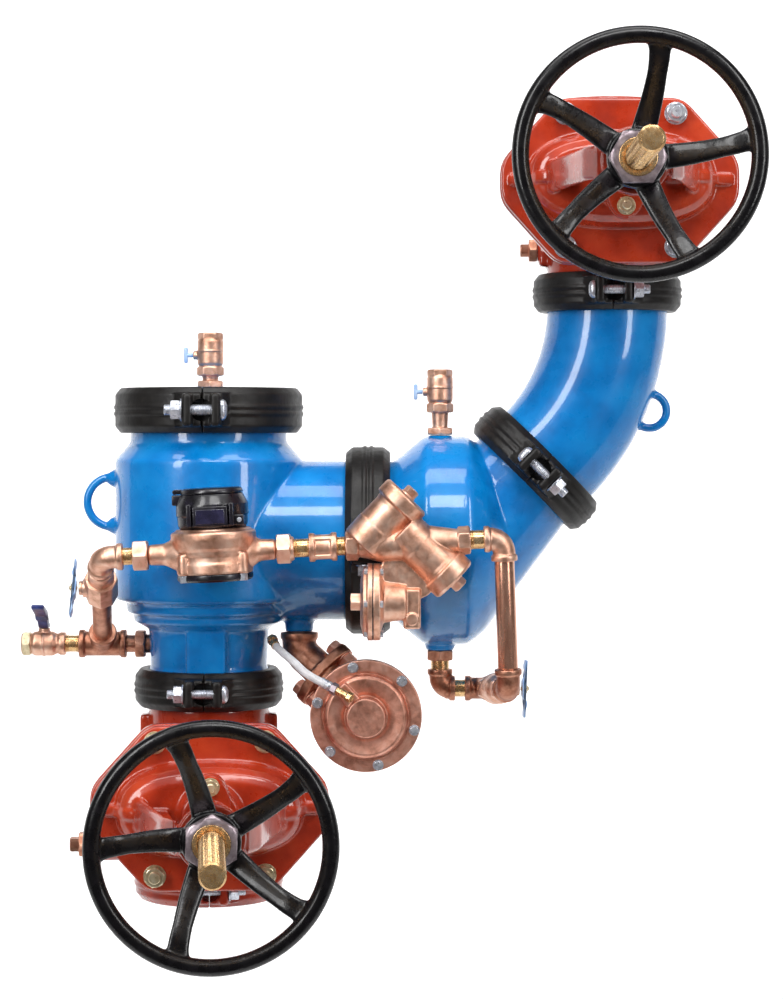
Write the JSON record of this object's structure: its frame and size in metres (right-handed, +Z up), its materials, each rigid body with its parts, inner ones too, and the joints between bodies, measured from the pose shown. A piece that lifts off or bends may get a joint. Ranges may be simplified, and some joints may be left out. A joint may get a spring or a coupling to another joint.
{
  "type": "backflow preventer",
  "caption": "Reduced-pressure backflow preventer with two rising-stem gate valves, an elbowed outlet, a relief valve and a metered bypass line across the front",
  "frame": {"origin": "centre of the inlet valve's lower end face, on the inlet pipe's axis", "axes": "+Z up along the inlet pipe, +X from the inlet side to the outlet side, -Y towards the handwheels"},
  "size_m": [0.9765, 0.918, 1.1335],
  "materials": {
    "red_enamel": "gloss red epoxy enamel on cast iron",
    "blue_epoxy": "gloss blue fusion epoxy on cast iron, slight orange peel",
    "black_enamel": "gloss black enamel on cast iron",
    "coupling_black": "satin black paint on ductile iron",
    "cast_bronze": "sand-cast bronze, tumbled",
    "dark_bronze": "darkened cast bronze",
    "brass": "turned brass",
    "copper_tube": "bright drawn copper",
    "steel": "zinc-plated or stainless steel",
    "handle_blue": "light blue painted steel",
    "lever_navy": "dipped navy vinyl over steel",
    "register_black": "moulded black plastic"
  },
  "bodies": {
    "root": {"access_cover": "blue_epoxy", "bypass_check_body": "cast_bronze", "bypass_inlet_elbow": "cast_bronze", "bypass_outlet_elbow": "cast_bronze", "bypass_relief_cover": "cast_bronze", "bypass_riser": "copper_tube", "bypass_tee": "dark_bronze", "check_body": "blue_epoxy", "check_coupling_lower": "coupling_black", "check_coupling_upper": "coupling_black", "cover_coupling_left": "coupling_black", "cover_coupling_right": "coupling_black", "drain_valve_body": "cast_bronze", "elbow_coupling_lower": "coupling_black", "elbow_coupling_upper": "coupling_black", "first_check_seat": "cast_bronze", "first_check_spring": "steel", "inlet_bonnet": "red_enamel", "inlet_coupling_left": "coupling_black", "inlet_coupling_right": "coupling_black", "inlet_shutoff_body": "cast_bronze", "inlet_valve_body": "red_enamel", "meter_body": "cast_bronze", "meter_outlet_tailpiece": "brass", "meter_register": "register_black", "outlet_bonnet": "red_enamel", "outlet_coupling_left": "coupling_black", "outlet_coupling_right": "coupling_black", "outlet_elbow": "blue_epoxy", "outlet_shutoff_body": "cast_bronze", "outlet_valve_body": "red_enamel", "relief_valve_body": "cast_bronze", "relief_valve_cover": "cast_bronze", "return_elbow": "cast_bronze", "riser_foot_elbow": "dark_bronze", "second_check_body": "blue_epoxy", "second_check_seat": "cast_bronze", "second_check_spring": "steel", "sensing_hose": "steel", "supply_coupling_left": "red_enamel", "supply_coupling_right": "red_enamel", "test_cock_1_body": "cast_bronze", "test_cock_2_body": "cast_bronze"},
    "inlet_wheel": {"inlet_handwheel": "black_enamel", "inlet_yoke_nut": "brass"},
    "inlet_rising_stem": {"inlet_stem": "brass", "inlet_gate": "steel"},
    "outlet_wheel": {"outlet_handwheel": "black_enamel", "outlet_yoke_nut": "brass"},
    "outlet_rising_stem": {"outlet_stem": "brass", "outlet_gate": "steel"},
    "first_poppet": {"first_check_poppet": "cast_bronze"},
    "second_poppet": {"second_check_poppet": "cast_bronze"},
    "relief_piston": {"relief_valve_piston": "cast_bronze"},
    "inlet_shutoff_lever": {"inlet_shutoff_handle": "handle_blue"},
    "outlet_shutoff_lever": {"outlet_shutoff_handle": "handle_blue"},
    "drain_lever": {"drain_valve_lever": "lever_navy"},
    "cock_1_lever": {"test_cock_1_handle": "handle_blue"},
    "cock_2_lever": {"test_cock_2_handle": "handle_blue"},
    "register_lid": {"meter_lid": "register_black"}
  },
  "joints": [
    {"name": "inlet_wheel_spin", "type": "hinge", "parent": "root", "child": "inlet_wheel", "pos_m": [0, 0, 0.13335], "axis": [-0.0767, 0.9971, 0], "range_deg": [0, 7200]},
    {"name": "inlet_stem_slide", "type": "slide", "parent": "root", "child": "inlet_rising_stem", "axis": [-0.0767, 0.9971, 0], "range_m": [0, 0.1601]},
    {"name": "outlet_wheel_spin", "type": "hinge", "parent": "root", "child": "outlet_wheel", "pos_m": [0.56, 0, 0.95455], "axis": [0.0157, 0.9999, 0], "range_deg": [-1350, 5850]},
    {"name": "outlet_stem_slide", "type": "slide", "parent": "root", "child": "outlet_rising_stem", "axis": [0.0157, 0.9999, 0], "range_m": [-0.03005, 0.13005]},
    {"name": "first_check_lift", "type": "slide", "parent": "root", "child": "first_poppet", "axis": [0, 0, 1], "range_m": [0, 0.04], "stiffness_N_per_m": 1500, "deforming": ["first_check_spring"]},
    {"name": "second_check_lift", "type": "slide", "parent": "root", "child": "second_poppet", "axis": [1, 0, 0], "range_m": [0, 0.04], "stiffness_N_per_m": 1500, "deforming": ["second_check_spring"]},
    {"name": "relief_lift", "type": "slide", "parent": "root", "child": "relief_piston", "axis": [0, -1, 0], "range_m": [0, 0.012], "stiffness_N_per_m": 1500},
    {"name": "inlet_shutoff_turn", "type": "hinge", "parent": "root", "child": "inlet_shutoff_lever", "pos_m": [-0.13648, -0.13176, 0.414], "axis": [-1, 0, 0], "range_deg": [0, 90]},
    {"name": "outlet_shutoff_turn", "type": "hinge", "parent": "root", "child": "outlet_shutoff_lever", "pos_m": [0.40139, -0.10517, 0.27496], "axis": [0.9908, 0.1344, -0.0127], "range_deg": [0, 90]},
    {"name": "drain_turn", "type": "hinge", "parent": "root", "child": "drain_lever", "pos_m": [-0.2315, 0, 0.35], "axis": [0, 0, -1], "range_deg": [0, 90]},
    {"name": "cock_1_turn", "type": "hinge", "parent": "root", "child": "cock_1_lever", "pos_m": [0.002, 0, 0.7333], "axis": [-1, 0, 0], "range_deg": [0, 90]},
    {"name": "cock_2_turn", "type": "hinge", "parent": "root", "child": "cock_2_lever", "pos_m": [0.325, 0, 0.6818], "axis": [-1, 0, 0], "range_deg": [0, 90]},
    {"name": "register_lid_swing", "type": "hinge", "parent": "root", "child": "register_lid", "pos_m": [-0.03057, -0.2, 0.54556], "axis": [0, -1, 0], "range_deg": [0, 110]}
  ],
  "couplings": [
    {"joint": "inlet_stem_slide", "follows": "inlet_wheel_spin", "m_per_rad": 0.001273},
    {"joint": "outlet_stem_slide", "follows": "outlet_wheel_spin", "m_per_rad": 0.001273}
  ]
}
